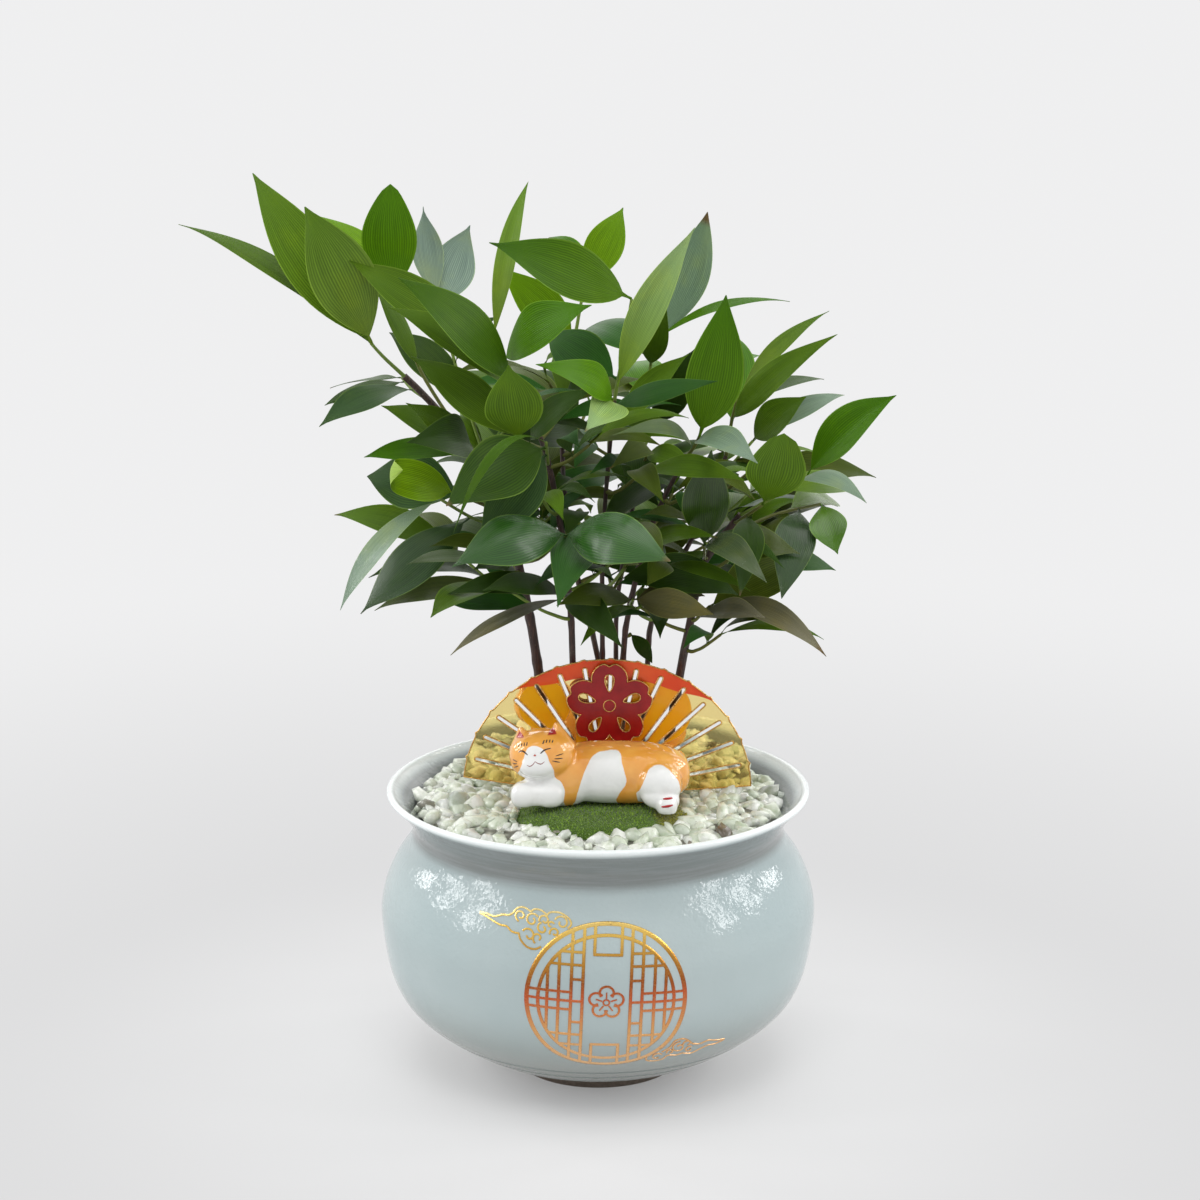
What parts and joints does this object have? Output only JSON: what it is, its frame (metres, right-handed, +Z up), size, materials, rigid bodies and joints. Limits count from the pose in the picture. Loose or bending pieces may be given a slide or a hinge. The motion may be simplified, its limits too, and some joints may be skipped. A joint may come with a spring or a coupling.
{
  "type": "potted nagi tree",
  "caption": "Young nagi seedlings with glossy lance-shaped leaves in a round glazed pot, dressed with white stones, a moss mound, a gold mirrored fan and a lying cat figurine.",
  "frame": {"origin": "middle of the pot's foot, on the surface it stands on", "axes": "+Z up, -Y towards the front with the lattice roundel, the fan's face and the cat's belly, +X to the right seen from the front"},
  "size_m": [0.3008, 0.2204, 0.396],
  "materials": {
    "pot_glaze": "glossy pale celadon glaze with a gilt lattice roundel",
    "baked_clay": "rough baked clay pebbles",
    "soil": null,
    "stones": "tumbled white and pale green stone chips",
    "moss": "soft deep green moss",
    "cat_glaze": "glossy orange and white glaze with painted features",
    "amber_acrylic": "gold mirrored acrylic with gilt edges, a red printed border and printed amber fruit; its stake is clear",
    "red_plate": "glossy dark red acrylic",
    "bark": "thin dark reddish bark",
    "leaf": null
  },
  "bodies": {
    "root": {"cat_figurine": "cat_glaze", "drainage_layer": "baked_clay", "fan_blossom": "red_plate", "fan_plate": "amber_acrylic", "fan_stake": "amber_acrylic", "moss_mound": "moss", "pot": "pot_glaze", "potting_soil": "soil", "shoot_1_back": "leaf", "shoot_1_base": "leaf", "shoot_1_crown": "leaf", "shoot_1_curled": "leaf", "shoot_1_filling_1": "leaf", "shoot_1_filling_2": "leaf", "shoot_1_left": "leaf", "shoot_1_low": "leaf", "shoot_1_middle": "leaf", "shoot_1_upper": "leaf", "shoot_2_arching": "leaf", "shoot_2_base": "leaf", "shoot_2_crown": "leaf", "shoot_2_filling_3": "leaf", "shoot_2_filling_4": "leaf", "shoot_2_front": "leaf", "shoot_2_left": "leaf", "shoot_2_pair": "leaf", "shoot_3_crown": "leaf", "shoot_3_filling_5": "leaf", "shoot_3_filling_6": "leaf", "shoot_3_left": "leaf", "shoot_4_crown": "leaf", "shoot_4_filling_7": "leaf", "shoot_4_filling_8": "leaf", "shoot_4_front": "leaf", "shoot_5_back": "leaf", "shoot_5_crown": "leaf", "shoot_5_filling_13": "leaf", "shoot_5_filling_9": "leaf", "shoot_6_crown": "leaf", "shoot_6_low": "leaf", "shoot_7_crown": "leaf", "shoot_7_filling_10": "leaf", "shoot_7_filling_11": "leaf", "shoot_7_right": "leaf", "shoot_8_crown": "leaf", "shoot_8_filling_12": "leaf", "shoot_8_front": "leaf", "shoot_8_hanging": "leaf", "shoot_8_low": "leaf", "shoot_8_middle": "leaf", "stem_1": "bark", "stem_2": "bark", "stem_3": "bark", "stem_4": "bark", "stem_5": "bark", "stem_6": "bark", "stem_7": "bark", "stem_8": "bark", "white_stones": "stones"}
  },
  "joints": []
}
